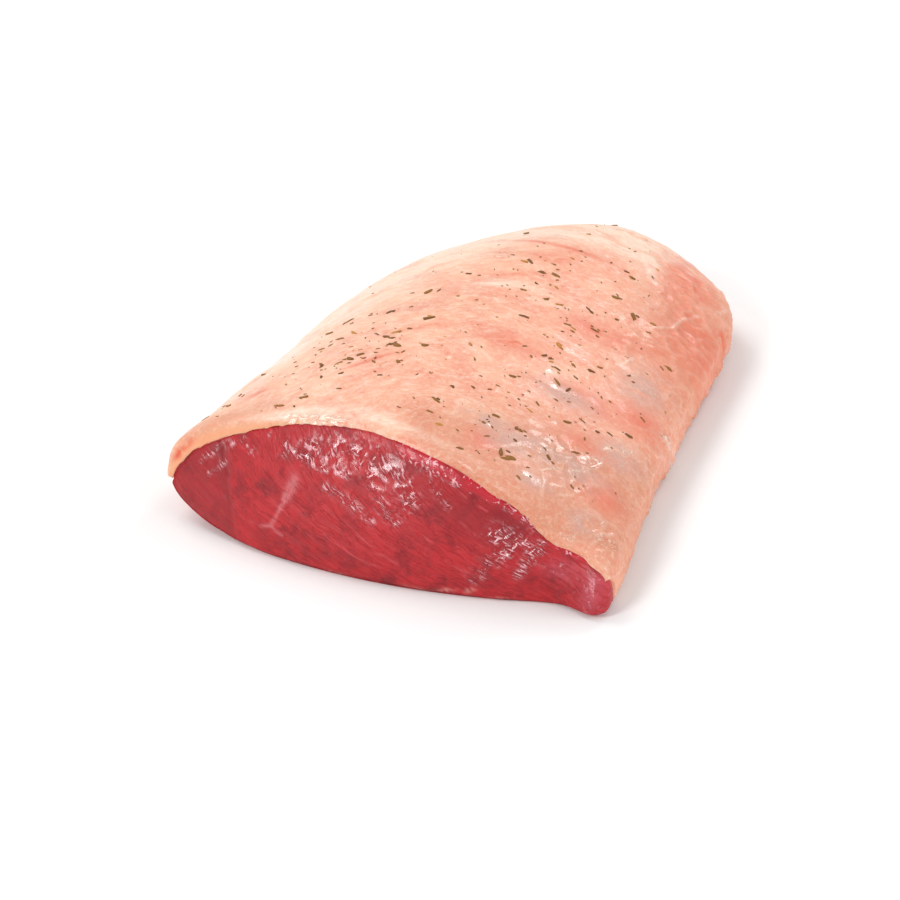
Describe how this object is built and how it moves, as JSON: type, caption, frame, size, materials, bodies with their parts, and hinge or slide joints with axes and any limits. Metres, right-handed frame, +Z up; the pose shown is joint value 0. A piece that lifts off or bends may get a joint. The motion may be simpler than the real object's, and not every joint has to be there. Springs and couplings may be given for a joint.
{
  "type": "raw picanha",
  "caption": "Whole raw beef rump cap, its domed fat cap up and dusted with dried herbs, with a slanting cut face at the thick end.",
  "frame": {"origin": "middle of the bounding box, on the surface that the meat rests on", "axes": "+Z up through the fat cap, -Y out of the cut face, +Y to the rear tip, -X to the thick side"},
  "size_m": [0.1871, 0.265, 0.0569],
  "materials": {
    "lean": "wet raw beef with visible fibres and pale connective tissue",
    "fat": "moist beef fat, cream to pink, with thin membrane and dried herb flakes"
  },
  "bodies": {
    "root": {"lean": "lean", "fat_cap": "fat"}
  },
  "joints": []
}
